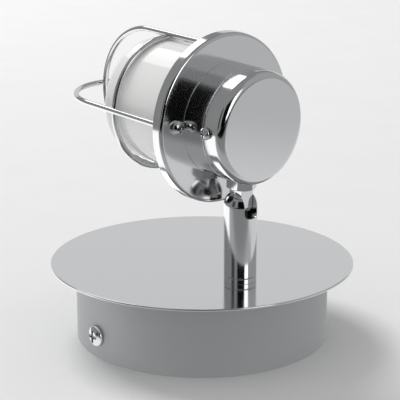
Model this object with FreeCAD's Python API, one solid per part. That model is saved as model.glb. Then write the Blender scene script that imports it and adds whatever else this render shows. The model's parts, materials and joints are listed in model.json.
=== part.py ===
import FreeCAD, Part
import math
import os

# Pivoting spotlight for a wall, resting on its wall side as it is photographed.
# Millimetres. Z points out of the wall; the wall face is Z = 0.
# X runs through the two side screws; the origin is midway between the wall slots.

# Driving dimensions: base
PLATE_RADIUS = 60.0
PLATE_THICKNESS = 0.8
BASE_HEIGHT = 30.2
CUP_RADIUS = 50.0
SHEET = 1.0
SIDE_SCREW_HEIGHT = 9.0
STEM_OFFSET = 30.5
STEM_TURN = -9.3
BRACKET_WIDTH = 44.0
BRACKET_THICKNESS = 1.5
EAR_WIDTH = 13.0
EAR_HEIGHT = 16.0
WALL_SLOT_SPACING = 60.0
WALL_SLOT_LENGTH = 12.0
WALL_SLOT_WIDTH = 4.5
GROMMET_HOLE_RADIUS = 6.0
STUD_SPREAD = 25.0
STUD_FORWARD = 18.0

# Driving dimensions: terminal block and earth point
BLOCK_LENGTH = 26.0
BLOCK_DEPTH = 13.0
BLOCK_HEIGHT = 15.0
BLOCK_NEAR_Y = 8.8
POLE_PITCH = 8.0
POLE_HEIGHT = 7.5
EARTH_X = 18.0
EARTH_Y = -12.0
EARTH_TAG_TURN = 125.0
EARTH_TAG_SHEET = 0.8
EARTH_BARREL = 1.4

# Driving dimensions: swivel and knuckle
COLLAR_HEIGHT = 2.0
TUBE_RADIUS = 6.35
NIPPLE_RADIUS = 5.0
NIPPLE_BORE = 3.6
NIPPLE_BELOW_CEILING = 10.4
TUBE_BORE = 4.0
PIVOT_ABOVE_PLATE = 29.2
SLOT_WIDTH = 6.3
SLOT_BELOW_PIVOT = 4.0
PIN_RADIUS = 1.5
RUNNING_GAP = 0.08

# Driving dimensions: head, measured from the pivot along the head's own axes
HEAD_TURN = 5.0
HEAD_LEAN = 3.3
HEAD_RISE = 31.35
FLANGE_BACK = -9.5
FLANGE_RADIUS = 32.3
RIM_WIDTH = 4.5
BODY_RADIUS = 21.5
BODY_END = 0.8
SLEEVE_END = 6.0
CAP_RADIUS = 21.3
CAP_END = 9.8
CAP_EDGE = 2.4
RING_PLATE_RADIUS = 30.6
RING_PLATE_THICKNESS = 2.0
RING_PLATE_BORE = 10.8
GLASS_RADIUS = 24.0
GLASS_WALL = 2.0
GLASS_END = -54.5
WIRE_RADIUS = 1.1
CAGE_RING_RADIUS = 25.7
CAGE_RING_BACK = -44.0
CAGE_LEG_RADIUS = 26.8
CAGE_BEND_START = -55.2
CAGE_DROP = 0.5
LEAD_RADIUS = 0.7
TONGUE_WIDTH = 5.9
TONGUE_DEPTH = 6.4
TONGUE_CHAMFER = 0.6
TONGUE_TOP = 6.9
TONGUE_BORE = 2.0
CONTACT_SPREAD = 4.5
CONTACT_BACK = 0.3
FLANGE_SCREW_REACH = 24.6
HOLDER_SCREW_REACH = 12.9
CAP_SCREW_BACK = 2.4
HOLDER_RADIUS = 9.6
HOLDER_FLANGE_RADIUS = 15.6
HOLDER_NOSE_RADIUS = 10.6
HOLDER_BACK = 0.5
HOLDER_SHOULDER = -7.8
HOLDER_FRONT = -14.5
LAMP_BACK = -10.6
LAMP_SHOULDER = -19.5
LAMP_END = -47.0
LAMP_RADIUS = 6.4
LAMP_PIN_LENGTH = 6.5
LAMP_PIN_RADIUS = 0.75

# Driving dimensions: fasteners
# Screws are (head radius, head height, shank radius, shank length).
SIDE_SCREW = (4.0, 2.3, 1.95, 7.0)
EARTH_SCREW = (3.8, 2.4, 1.6, 1.7)
CAP_SCREW = (2.3, 1.6, 1.1, 3.2)
FLANGE_SCREW = (2.75, 2.0, 1.4, 2.5)
HOLDER_SCREW = (2.1, 1.5, 1.3, 3.6)
SCREW_TIP = 0.4
NUT_CHAMFER = 0.35
PLATE_STUD_RADIUS = 1.5
PLATE_STUD_LENGTH = 6.0
PLATE_NUT_FLATS = 5.5
PLATE_NUT_HEIGHT = 2.4
SWIVEL_NUT_FLATS = 14.0
SWIVEL_NUT_HEIGHT = 4.5
STEM_NUT_FLATS = 10.0
TONGUE_STUD_RADIUS = 3.0
TONGUE_STUD_TOP = 15.0
WASHER_RADIUS = 8.5
FRICTION_WASHER_THICKNESS = 1.0
STOP_WASHER_TOP = 1.2
STOP_WASHER_THICKNESS = 1.2
STOP_TAB_REACH = 13.2
STOP_TAB_HALF_WIDTH = 1.5
STOP_PIN_REACH = 11.5
STOP_PIN_RADIUS = 0.98
STOP_PIN_LENGTH = 3.6

# Derived places
PLATE_BACK = BASE_HEIGHT - PLATE_THICKNESS
CUP_CEILING = PLATE_BACK - SHEET
PIVOT_HEIGHT = BASE_HEIGHT + PIVOT_ABOVE_PLATE
TUBE_FOOT = BASE_HEIGHT + COLLAR_HEIGHT + 0.1
STEM_X = STEM_OFFSET * math.sin(math.radians(STEM_TURN))
STEM_Y = -STEM_OFFSET * math.cos(math.radians(STEM_TURN))
RING_PLATE_BACK = FLANGE_BACK - SHEET
RING_PLATE_FRONT = RING_PLATE_BACK - RING_PLATE_THICKNESS
GLASS_BACK = RING_PLATE_FRONT - 1.0

X_AXIS = FreeCAD.Vector(1, 0, 0)
Y_AXIS = FreeCAD.Vector(0, 1, 0)
Z_AXIS = FreeCAD.Vector(0, 0, 1)
ORIGIN = FreeCAD.Vector(0, 0, 0)


def vec(x, y, z):
    return FreeCAD.Vector(x, y, z)


# Simple solids

def rod(radius, low, high, x=0.0, y=0.0):
    return Part.makeCylinder(radius, high - low, vec(x, y, low), Z_AXIS)


def tube(outer, inner, low, high, x=0.0, y=0.0):
    return rod(outer, low, high, x, y).cut(rod(inner, low - 1, high + 1, x, y))


def rod_between(start, end, radius):
    return Part.makeCylinder(radius, (end - start).Length, start, end - start)


def block(x_low, x_high, y_low, y_high, z_low, z_high):
    return Part.makeBox(x_high - x_low, y_high - y_low, z_high - z_low, vec(x_low, y_low, z_low))


def hexagon(across_flats, low, high, x=0.0, y=0.0):
    corner_radius = across_flats / math.sqrt(3)
    corners = []
    for side in range(7):
        angle = math.radians(60 * side)
        corners.append(vec(x + corner_radius * math.cos(angle), y + corner_radius * math.sin(angle), low))
    return Part.Face(Part.makePolygon(corners)).extrude(vec(0, 0, high - low))


def nut(across_flats, bore, low, high, x=0.0, y=0.0):
    # The cone takes the corners off both faces, as on a pressed nut.
    edge = across_flats * 0.58
    height = high - low
    foot = vec(x, y, low)
    top = Part.makeCone(edge + height, edge - NUT_CHAMFER, height + NUT_CHAMFER, foot, Z_AXIS)
    bottom = Part.makeCone(edge - NUT_CHAMFER, edge + height, height + NUT_CHAMFER, foot, Z_AXIS)
    body = hexagon(across_flats, low, high, x, y).common(top).common(bottom)
    return body.cut(rod(bore, low - 1, high + 1, x, y))


# Outlines with rounded corners

def rounded_wire(corners):
    # Each corner is (u, v, radius) in the XZ plane; the radius may be zero.
    count = len(corners)
    points = [vec(u, 0, v) for u, v, radius in corners]
    starts = []
    ends = []
    middles = []
    for index, corner in enumerate(corners):
        here = points[index]
        before = (points[index - 1] - here).normalize()
        after = (points[(index + 1) % count] - here).normalize()
        radius = corner[2]
        if radius == 0:
            starts.append(here)
            ends.append(here)
            middles.append(None)
            continue
        half = before.getAngle(after) / 2
        reach = radius / math.tan(half)
        bisector = (before + after).normalize()
        centre = here + bisector * (radius / math.sin(half))
        starts.append(here + before * reach)
        ends.append(here + after * reach)
        middles.append(centre - bisector * radius)
    edges = []
    for index in range(count):
        if middles[index] is not None:
            edges.append(Part.Arc(starts[index], middles[index], ends[index]).toShape())
        following = starts[(index + 1) % count]
        if ends[index].distanceToPoint(following) > 1e-6:
            edges.append(Part.LineSegment(ends[index], following).toShape())
    return Part.Wire(edges)


def turned_about_x(corners):
    # Corners are (position along X, radius, corner radius).
    return Part.Face(rounded_wire(corners)).revolve(ORIGIN, X_AXIS, 360)


def turned_about_z(corners):
    # Corners are (radius, height, corner radius).
    return Part.Face(rounded_wire(corners)).revolve(ORIGIN, Z_AXIS, 360)


# Leads: straight runs joined by tangent arcs

def lead(points, radius):
    edges = []
    last = points[0]
    for index in range(1, len(points) - 1):
        here = points[index]
        before = points[index - 1] - here
        after = points[index + 1] - here
        reach = 0.45 * min(before.Length, after.Length)
        before.normalize()
        after.normalize()
        half = before.getAngle(after) / 2
        bisector = (before + after).normalize()
        bend = reach * math.tan(half)
        start = here + before * reach
        end = here + after * reach
        middle = here + bisector * (bend / math.sin(half) - bend)
        edges.append(Part.LineSegment(last, start).toShape())
        edges.append(Part.Arc(start, middle, end).toShape())
        last = end
    edges.append(Part.LineSegment(last, points[-1]).toShape())
    path = Part.Wire(edges)
    section = Part.Wire(Part.Circle(points[0], points[1] - points[0], radius).toShape())
    return path.makePipeShell([section], True, True)


# Placing the pieces that turn with the stem and with the head

def placed(shape, placement):
    moved = shape.copy()
    moved.Placement = placement.multiply(moved.Placement)
    return moved


def on_stem(shape):
    # Local X points to the head's back, local Z up the stem.
    turn = FreeCAD.Rotation(Z_AXIS, HEAD_TURN - 90)
    return placed(shape, FreeCAD.Placement(vec(STEM_X, STEM_Y, 0), turn))


def on_head(shape):
    # Local origin is the pivot, local X the head's axis pointing back, local Z up the tongue.
    lean = FreeCAD.Rotation(Y_AXIS, HEAD_LEAN)
    turn = FreeCAD.Rotation(Z_AXIS, HEAD_TURN - 90)
    return placed(shape, FreeCAD.Placement(vec(STEM_X, STEM_Y, PIVOT_HEIGHT), turn.multiply(lean)))


def on_head_axis(shape):
    # Local X is the head's axis itself, so the piece is lifted by the rise of the head.
    return placed(shape, FreeCAD.Placement(vec(0, 0, HEAD_RISE), FreeCAD.Rotation()))


# Screws

def cross_recess(head_radius, top):
    arm = head_radius * 0.62
    width = head_radius * 0.17
    depth = head_radius * 0.45
    along = block(-arm, arm, -width, width, top - depth, top + 1)
    across = block(-width, width, -arm, arm, top - depth, top + 1)
    return along.fuse(across)


def pan_screw(head_radius, head_height, shank_radius, shank_length):
    # The head sits on Z = 0 and points up; the shank goes down.
    profile = [
        (0, 0, 0),
        (head_radius, 0, 0),
        (head_radius, head_height, head_height * 0.75),
        (0, head_height, 0),
    ]
    head = turned_about_z(profile).cut(cross_recess(head_radius, head_height))
    shank = rod(shank_radius, -shank_length, 0)
    foot = vec(0, 0, -shank_length - SCREW_TIP)
    tip = Part.makeCone(shank_radius - SCREW_TIP, shank_radius, SCREW_TIP, foot, Z_AXIS)
    return head.fuse(shank).fuse(tip).removeSplitter()


def pointed(shape, direction, position):
    return placed(shape, FreeCAD.Placement(position, FreeCAD.Rotation(Z_AXIS, direction)))


# Base pieces

def base_cup():
    inner = CUP_RADIUS - SHEET
    profile = [
        (inner, 0, 0),
        (CUP_RADIUS, 0, 0),
        (CUP_RADIUS, PLATE_BACK, 1.5),
        (0, PLATE_BACK, 0),
        (0, CUP_CEILING, 0),
        (inner, CUP_CEILING, 0.5),
    ]
    cup = turned_about_z(profile)
    cup = cup.cut(rod(NIPPLE_RADIUS + RUNNING_GAP, 0, BASE_HEIGHT, STEM_X, STEM_Y))
    for side in (-1, 1):
        cup = cup.cut(rod(PLATE_STUD_RADIUS + 0.1, 20, BASE_HEIGHT, side * STUD_SPREAD, STUD_FORWARD))
        start = vec(side * (CUP_RADIUS - 4), 0, SIDE_SCREW_HEIGHT)
        end = vec(side * (CUP_RADIUS + 2), 0, SIDE_SCREW_HEIGHT)
        cup = cup.cut(rod_between(start, end, 2.3))
    stop = stop_pin_place()
    return cup.cut(rod(1.0, 20, PLATE_BACK + 0.1, stop.x, stop.y))


def cover_plate():
    profile = [
        (0, PLATE_BACK, 0),
        (PLATE_RADIUS, PLATE_BACK, 0.2),
        (PLATE_RADIUS, BASE_HEIGHT, 0.3),
        (0, BASE_HEIGHT, 0),
    ]
    plate = turned_about_z(profile)
    plate = plate.cut(rod(NIPPLE_RADIUS + RUNNING_GAP, 0, BASE_HEIGHT + 1, STEM_X, STEM_Y))
    for side in (-1, 1):
        stud_foot = PLATE_BACK - PLATE_STUD_LENGTH
        stud = rod(PLATE_STUD_RADIUS, stud_foot, PLATE_BACK, side * STUD_SPREAD, STUD_FORWARD)
        plate = plate.fuse(stud)
    return plate


def plate_nuts():
    nuts = []
    for side in (-1, 1):
        low = CUP_CEILING - PLATE_NUT_HEIGHT
        bore = PLATE_STUD_RADIUS + 0.02
        nuts.append(nut(PLATE_NUT_FLATS, bore, low, CUP_CEILING, side * STUD_SPREAD, STUD_FORWARD))
    return nuts


def wall_bracket():
    reach = math.sqrt((CUP_RADIUS - SHEET - 0.15) ** 2 - (EAR_WIDTH / 2) ** 2)
    half = BRACKET_WIDTH / 2
    middle = block(-36, 36, -half, half, 0, BRACKET_THICKNESS)
    arms = block(-reach, reach, -EAR_WIDTH / 2, EAR_WIDTH / 2, 0, BRACKET_THICKNESS)
    bracket = middle.fuse(arms)
    for side in (-1, 1):
        inner = side * (reach - BRACKET_THICKNESS)
        outer = side * reach
        ear = block(min(inner, outer), max(inner, outer), -EAR_WIDTH / 2, EAR_WIDTH / 2, 0, EAR_HEIGHT)
        bracket = bracket.fuse(ear)
        hole = rod_between(vec(side * 40, 0, SIDE_SCREW_HEIGHT), vec(side * 50, 0, SIDE_SCREW_HEIGHT), 2.0)
        bracket = bracket.cut(hole)
        bracket = bracket.cut(wall_slot(side * WALL_SLOT_SPACING / 2))
    bracket = bracket.cut(rod(GROMMET_HOLE_RADIUS, -1, 3))
    bracket = bracket.cut(rod(1.65, -1, 3, EARTH_X, EARTH_Y))
    return bracket.cut(rod(1.3, -1, 3, 0, BLOCK_NEAR_Y + BLOCK_DEPTH / 2)).removeSplitter()


def wall_slot(centre_x):
    reach = (WALL_SLOT_LENGTH - WALL_SLOT_WIDTH) / 2
    radius = WALL_SLOT_WIDTH / 2
    middle = block(centre_x - reach, centre_x + reach, -radius, radius, -1, 3)
    for side in (-1, 1):
        middle = middle.fuse(rod(radius, -1, 3, centre_x + side * reach, 0))
    return middle


def side_screws():
    screw = pan_screw(*SIDE_SCREW)
    seat = CUP_RADIUS + 0.05
    return [pointed(screw, vec(side, 0, 0), vec(side * seat, 0, SIDE_SCREW_HEIGHT)) for side in (-1, 1)]


def cable_grommet():
    profile = [
        (3.0, 0.1, 0),
        (GROMMET_HOLE_RADIUS - 0.05, 0.1, 0),
        (GROMMET_HOLE_RADIUS - 0.05, BRACKET_THICKNESS, 0),
        (8.2, BRACKET_THICKNESS, 0),
        (8.2, 3.4, 0.8),
        (3.0, 3.4, 0.6),
    ]
    return turned_about_z(profile)


def pole_positions():
    return [POLE_PITCH * index for index in (-1, 0, 1)]


def terminal_block():
    near = BLOCK_NEAR_Y
    far = BLOCK_NEAR_Y + BLOCK_DEPTH
    low = BRACKET_THICKNESS
    body = block(-BLOCK_LENGTH / 2, BLOCK_LENGTH / 2, near, far, low, low + BLOCK_HEIGHT)
    for gap in (-POLE_PITCH / 2, POLE_PITCH / 2):
        body = body.cut(block(gap - 0.8, gap + 0.8, near - 1, far + 1, low + 10.5, low + BLOCK_HEIGHT + 1))
    height = low + POLE_HEIGHT
    for x in pole_positions():
        body = body.cut(rod_between(vec(x, near - 1, height), vec(x, far + 1, height), 2.4))
        for y in clamp_positions():
            body = body.cut(rod(1.6, height, low + BLOCK_HEIGHT + 1, x, y))
    return body.cut(rod(1.6, 0, low + 2.4, 0, near + BLOCK_DEPTH / 2)).removeSplitter()


def clamp_positions():
    return [BLOCK_NEAR_Y + 3.4, BLOCK_NEAR_Y + BLOCK_DEPTH - 3.4]


def terminal_sleeves():
    height = BRACKET_THICKNESS + POLE_HEIGHT
    sleeves = []
    for x in pole_positions():
        start = vec(x, BLOCK_NEAR_Y + 1.2, height)
        end = vec(x, BLOCK_NEAR_Y + BLOCK_DEPTH - 1.2, height)
        sleeve = rod_between(start, end, 2.35).cut(rod_between(start, end, 1.5))
        for y in clamp_positions():
            sleeve = sleeve.cut(rod(1.22, height, height + 5, x, y))
        sleeves.append(sleeve)
    return sleeves


def terminal_screws():
    low = BRACKET_THICKNESS + POLE_HEIGHT + LEAD_RADIUS + 0.05
    high = low + 4.4
    screws = []
    for x in pole_positions():
        for y in clamp_positions():
            slot = block(x - 2, x + 2, y - 0.25, y + 0.25, high - 0.7, high + 1)
            screws.append(rod(1.2, low, high, x, y).cut(slot))
    return screws


def block_screw():
    # A short screw from the wall side of the bracket into the block.
    return [rod(1.28, 0.2, BRACKET_THICKNESS + 2.2, 0, BLOCK_NEAR_Y + BLOCK_DEPTH / 2)]


def earth_screw():
    screw = pan_screw(*EARTH_SCREW)
    return [pointed(screw, Z_AXIS, vec(EARTH_X, EARTH_Y, BRACKET_THICKNESS + EARTH_TAG_SHEET))]


def earth_tag():
    # A ring under the screw head, with a crimped barrel that holds the lead.
    ring = rod(4.2, 0, EARTH_TAG_SHEET)
    tail = block(0, 6.5, -1.4, 1.4, 0, EARTH_TAG_SHEET)
    barrel = rod_between(vec(5.5, 0, EARTH_BARREL), vec(10.0, 0, EARTH_BARREL), EARTH_BARREL)
    tag = ring.fuse(tail).fuse(barrel).cut(rod(1.7, -1, 2))
    tag = tag.cut(rod_between(vec(5.8, 0, EARTH_BARREL), vec(11, 0, EARTH_BARREL), LEAD_RADIUS + 0.1))
    turn = FreeCAD.Rotation(Z_AXIS, EARTH_TAG_TURN)
    return placed(tag.removeSplitter(), FreeCAD.Placement(vec(EARTH_X, EARTH_Y, BRACKET_THICKNESS), turn))


def along_earth_tag(reach):
    turn = math.radians(EARTH_TAG_TURN)
    height = BRACKET_THICKNESS + EARTH_BARREL
    return vec(EARTH_X + reach * math.cos(turn), EARTH_Y + reach * math.sin(turn), height)


def earth_lead():
    # From the third pole down into the barrel of the tag.
    height = BRACKET_THICKNESS + POLE_HEIGHT
    points = [
        vec(POLE_PITCH, BLOCK_NEAR_Y + 5.0, height),
        vec(POLE_PITCH, BLOCK_NEAR_Y - 3.5, height),
        vec(POLE_PITCH + 0.6, 1.5, height - 1.4),
        vec(POLE_PITCH + 2.2, -1.0, height - 4.8),
        along_earth_tag(10.6),
        along_earth_tag(6.0),
    ]
    return [lead(points, LEAD_RADIUS)]


def base_leads():
    # Two leads from the first two poles, over the grommet and up to the foot of the nipple.
    height = BRACKET_THICKNESS + POLE_HEIGHT
    leads = []
    for index, pole_x in enumerate(pole_positions()[:2]):
        side = 1.0 - 2.0 * index
        nipple_x = STEM_X - side * 1.0
        points = [
            vec(pole_x, BLOCK_NEAR_Y + 5.0, height),
            vec(pole_x, 2.0, height),
            vec(0.5 * (pole_x + nipple_x), -10.0, height - 0.5),
            vec(nipple_x, -20.0, height),
            vec(nipple_x, STEM_Y, height + 1.2),
            vec(nipple_x, STEM_Y, nipple_foot() - 0.05),
        ]
        leads.append(lead(points, LEAD_RADIUS))
    return leads


# Swivel pieces

def nipple_foot():
    return CUP_CEILING - NIPPLE_BELOW_CEILING


def swivel_collar():
    # A flat collar that stays on the plate, as wide as the stem that turns on it.
    profile = [
        (NIPPLE_RADIUS + RUNNING_GAP, BASE_HEIGHT, 0),
        (TUBE_RADIUS, BASE_HEIGHT, 0.2),
        (TUBE_RADIUS, BASE_HEIGHT + COLLAR_HEIGHT, 0.35),
        (NIPPLE_RADIUS + RUNNING_GAP, BASE_HEIGHT + COLLAR_HEIGHT, 0),
    ]
    return turned_about_z(profile)


def friction_washer():
    low = CUP_CEILING - FRICTION_WASHER_THICKNESS
    return tube(WASHER_RADIUS, NIPPLE_RADIUS + RUNNING_GAP, low, CUP_CEILING)


def stop_pin_place():
    # The pin stands on the far side of the stem from the washer's tab at rest.
    turn = math.radians(HEAD_TURN - 90)
    return vec(STEM_X - STOP_PIN_REACH * math.cos(turn), STEM_Y - STOP_PIN_REACH * math.sin(turn), 0)


def stop_pin():
    place = stop_pin_place()
    return [rod(STOP_PIN_RADIUS, CUP_CEILING - STOP_PIN_LENGTH, PLATE_BACK - 0.02, place.x, place.y)]


def stop_washer():
    high = CUP_CEILING - STOP_WASHER_TOP
    low = high - STOP_WASHER_THICKNESS
    disc = rod(WASHER_RADIUS, low, high)
    tab = block(0, STOP_TAB_REACH, -STOP_TAB_HALF_WIDTH, STOP_TAB_HALF_WIDTH, low, high)
    return disc.fuse(tab).cut(rod(NIPPLE_RADIUS + 0.01, 0, 40)).removeSplitter()


def disc_spring():
    high = CUP_CEILING - 2.45
    profile = [
        (NIPPLE_RADIUS + 0.02, high - 1.2, 0),
        (NIPPLE_RADIUS + 0.02, high - 0.7, 0),
        (8.0, high, 0),
        (8.0, high - 0.5, 0),
    ]
    return turned_about_z(profile)


def swivel_nut():
    high = CUP_CEILING - 3.7
    return nut(SWIVEL_NUT_FLATS, NIPPLE_RADIUS + 0.01, high - SWIVEL_NUT_HEIGHT, high)


def threaded_nipple():
    return tube(NIPPLE_RADIUS, NIPPLE_BORE, nipple_foot(), TUBE_FOOT + 12)


def slot_cutter():
    # The slot runs from front to back through the top of the stem.
    low = PIVOT_HEIGHT - SLOT_BELOW_PIVOT
    half = SLOT_WIDTH / 2
    corners = [
        (-half, low, 2.0),
        (half, low, 2.0),
        (half, low + 20, 0),
        (-half, low + 20, 0),
    ]
    face = Part.Face(rounded_wire(corners))
    cutter = face.extrude(vec(0, 2 * TUBE_RADIUS + 2, 0))
    cutter.translate(vec(0, -TUBE_RADIUS - 1, 0))
    cutter.rotate(ORIGIN, Z_AXIS, 90)
    return cutter


def stem_envelope(radius):
    column = rod(radius, TUBE_FOOT, PIVOT_HEIGHT)
    return column.fuse(Part.makeSphere(radius, vec(0, 0, PIVOT_HEIGHT))).removeSplitter()


def knuckle_tube():
    stem = stem_envelope(TUBE_RADIUS)
    foot = Part.makeCone(TUBE_RADIUS - 0.35, TUBE_RADIUS + 40, 40.35, vec(0, 0, TUBE_FOOT), Z_AXIS)
    stem = stem.common(foot)
    stem = stem.cut(rod(TUBE_BORE, 0, PIVOT_HEIGHT - SLOT_BELOW_PIVOT + 1))
    stem = stem.cut(rod(NIPPLE_RADIUS + 0.01, 0, TUBE_FOOT + 12.2))
    stem = stem.cut(slot_cutter())
    pin_hole = rod_between(vec(0, -10, PIVOT_HEIGHT), vec(0, 10, PIVOT_HEIGHT), PIN_RADIUS + 0.01)
    return stem.cut(pin_hole)


def pivot_pin():
    pin = rod_between(vec(0, -10, PIVOT_HEIGHT), vec(0, 10, PIVOT_HEIGHT), PIN_RADIUS)
    return pin.common(stem_envelope(TUBE_RADIUS))


def stem_leads():
    # Two straight leads in the bore, from the nipple's foot to just under the knuckle.
    high = PIVOT_HEIGHT - SLOT_BELOW_PIVOT - 0.4
    leads = []
    for side in (-1, 1):
        turn = math.radians(90 - HEAD_TURN)
        foot = vec(side * math.cos(turn), side * math.sin(turn), nipple_foot())
        head = vec(-2.2, side * (LEAD_RADIUS + 0.05), high)
        middle_low = vec(foot.x, foot.y, nipple_foot() + 14)
        middle_high = vec(head.x, head.y, high - 12)
        leads.append(lead([foot, middle_low, middle_high, head], LEAD_RADIUS))
    return leads


# Head pieces, drawn about the pivot

def pivot_tongue():
    # A square bar with broken edges, its lower end rounded about the pivot, and a hollow stud on top.
    depth = TONGUE_DEPTH / 2
    width = TONGUE_WIDTH / 2
    bar = chamfered_bar(depth, width, TONGUE_TOP)
    bar = bar.fuse(chamfered_disc(depth, width))
    bar = bar.fuse(rod(TONGUE_STUD_RADIUS, TONGUE_TOP, TONGUE_STUD_TOP))
    bar = bar.cut(rod(TONGUE_BORE, 4.4, 16))
    bar = bar.cut(block(-4, 0, -1.65, 1.65, 2.4, 6.4))
    return bar.cut(rod_between(vec(0, -5, 0), vec(0, 5, 0), PIN_RADIUS + 0.06)).removeSplitter()


def chamfered_bar(depth, width, top):
    cut_depth = depth - TONGUE_CHAMFER
    cut_width = width - TONGUE_CHAMFER
    outline = [
        (depth, -cut_width),
        (depth, cut_width),
        (cut_depth, width),
        (-cut_depth, width),
        (-depth, cut_width),
        (-depth, -cut_width),
        (-cut_depth, -width),
        (cut_depth, -width),
    ]
    corners = [vec(x, y, 0) for x, y in outline]
    corners.append(corners[0])
    return Part.Face(Part.makePolygon(corners)).extrude(vec(0, 0, top))


def chamfered_disc(radius, half_width):
    inner = half_width - TONGUE_CHAMFER
    disc = rod_between(vec(0, -inner, 0), vec(0, inner, 0), radius)
    for side in (-1, 1):
        centre = vec(0, side * inner, 0)
        rim = Part.makeCone(radius, radius - TONGUE_CHAMFER, TONGUE_CHAMFER, centre, vec(0, side, 0))
        disc = disc.fuse(rim)
    return disc.removeSplitter()


def stem_nut():
    body = nut(STEM_NUT_FLATS, TONGUE_STUD_RADIUS + 0.02, TONGUE_TOP, HEAD_RISE - BODY_RADIUS + 0.9)
    shell = rod_between(vec(-20, 0, HEAD_RISE), vec(20, 0, HEAD_RISE), BODY_RADIUS + 0.03)
    return body.cut(shell)


def stem_inner_nut():
    body = nut(STEM_NUT_FLATS, TONGUE_STUD_RADIUS + 0.02, 10.0, 14.2)
    inside = rod_between(vec(-20, 0, HEAD_RISE), vec(20, 0, HEAD_RISE), BODY_RADIUS - 2.23)
    return body.common(inside)


def stud_hole():
    return rod(TONGUE_STUD_RADIUS + 0.05, 0, 20)


def screw_sides():
    return (-1, 1)


def cap_screw_hole(side, radius):
    start = vec(CAP_SCREW_BACK, side * 15, HEAD_RISE)
    end = vec(CAP_SCREW_BACK, side * 25, HEAD_RISE)
    return rod_between(start, end, radius)


def head_body():
    profile = [
        (FLANGE_BACK, BODY_RADIUS - 1.2, 0),
        (FLANGE_BACK, BODY_RADIUS, 0),
        (BODY_END, BODY_RADIUS, 0.25),
        (BODY_END, CAP_RADIUS - SHEET, 0),
        (SLEEVE_END, CAP_RADIUS - SHEET, 0.3),
        (SLEEVE_END, BODY_RADIUS - 2.2, 0),
        (-4.0, BODY_RADIUS - 2.2, 0),
        (-4.0, BODY_RADIUS - 1.2, 0),
    ]
    body = on_head_axis(turned_about_x(profile)).cut(stud_hole())
    for side in screw_sides():
        body = body.cut(cap_screw_hole(side, 1.15))
    return body


def rear_cap():
    inner = CAP_RADIUS - SHEET + 0.05
    profile = [
        (BODY_END + 0.05, inner, 0),
        (BODY_END + 0.05, CAP_RADIUS, 0.25),
        (CAP_END, CAP_RADIUS, CAP_EDGE),
        (CAP_END, 0, 0),
        (CAP_END - SHEET, 0, 0),
        (CAP_END - SHEET, inner, CAP_EDGE - 0.8),
    ]
    cap = on_head_axis(turned_about_x(profile)).cut(rod(3.2, 0, 20))
    for side in screw_sides():
        cap = cap.cut(cap_screw_hole(side, 1.25))
    return cap


def cap_screws():
    screw = pan_screw(*CAP_SCREW)
    seat = BODY_RADIUS + 0.02
    screws = []
    for side in screw_sides():
        place = vec(CAP_SCREW_BACK, side * seat, HEAD_RISE)
        screws.append(pointed(screw, vec(0, side, 0), place))
    return screws


def flange_dish():
    front = FLANGE_BACK - RIM_WIDTH
    profile = [
        (FLANGE_BACK, BODY_RADIUS - 1.2, 0),
        (FLANGE_BACK, FLANGE_RADIUS, 0.7),
        (front, FLANGE_RADIUS + 0.2, 0.3),
        (front, FLANGE_RADIUS - 0.8, 0.3),
        (FLANGE_BACK - SHEET, FLANGE_RADIUS - 1.0, 0.3),
        (FLANGE_BACK - SHEET, BODY_RADIUS - 1.2, 0),
    ]
    dish = on_head_axis(turned_about_x(profile))
    for side in screw_sides():
        start = vec(FLANGE_BACK + 2, side * FLANGE_SCREW_REACH, HEAD_RISE)
        end = vec(FLANGE_BACK - 3, side * FLANGE_SCREW_REACH, HEAD_RISE)
        dish = dish.cut(rod_between(start, end, 1.7))
    return dish


def flange_screws():
    screw = pan_screw(*FLANGE_SCREW)
    places = [vec(FLANGE_BACK + 0.02, side * FLANGE_SCREW_REACH, HEAD_RISE) for side in screw_sides()]
    return [pointed(screw, X_AXIS, place) for place in places]


def mounting_ring():
    profile = [
        (RING_PLATE_BACK, RING_PLATE_BORE, 0),
        (RING_PLATE_BACK, RING_PLATE_RADIUS, 0.3),
        (RING_PLATE_FRONT, RING_PLATE_RADIUS, 0.3),
        (RING_PLATE_FRONT, RING_PLATE_BORE, 0),
    ]
    ring = on_head_axis(turned_about_x(profile))
    for side in screw_sides():
        for reach, radius in ((FLANGE_SCREW_REACH, 1.45), (HOLDER_SCREW_REACH, 1.35)):
            start = vec(RING_PLATE_BACK + 2, side * reach, HEAD_RISE)
            end = vec(RING_PLATE_FRONT - 2, side * reach, HEAD_RISE)
            ring = ring.cut(rod_between(start, end, radius))
    return ring


def holder_screws():
    screw = pan_screw(*HOLDER_SCREW)
    places = [vec(RING_PLATE_FRONT - 0.02, side * HOLDER_SCREW_REACH, HEAD_RISE) for side in screw_sides()]
    return [pointed(screw, vec(-1, 0, 0), place) for place in places]


def lampholder():
    profile = [
        (HOLDER_BACK, 0, 0),
        (HOLDER_BACK, HOLDER_RADIUS, 1.2),
        (HOLDER_SHOULDER, HOLDER_RADIUS, 0),
        (HOLDER_SHOULDER, HOLDER_FLANGE_RADIUS, 0.6),
        (RING_PLATE_BACK + 0.02, HOLDER_FLANGE_RADIUS, 0),
        (RING_PLATE_BACK + 0.02, HOLDER_NOSE_RADIUS, 0),
        (HOLDER_FRONT, HOLDER_NOSE_RADIUS, 0.8),
        (HOLDER_FRONT, 0, 0),
    ]
    body = on_head_axis(turned_about_x(profile))
    for side in screw_sides():
        start = vec(-7, side * HOLDER_SCREW_REACH, HEAD_RISE)
        end = vec(-12, side * HOLDER_SCREW_REACH, HEAD_RISE)
        body = body.cut(rod_between(start, end, 1.32))
        contact = vec(1, side * CONTACT_SPREAD, HEAD_RISE)
        body = body.cut(rod_between(contact, contact - vec(17, 0, 0), 1.9))
    mouth = block(-15, -10.5, -7.2, 7.2, HEAD_RISE - 3.4, HEAD_RISE + 3.4)
    return body.cut(mouth)


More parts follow.
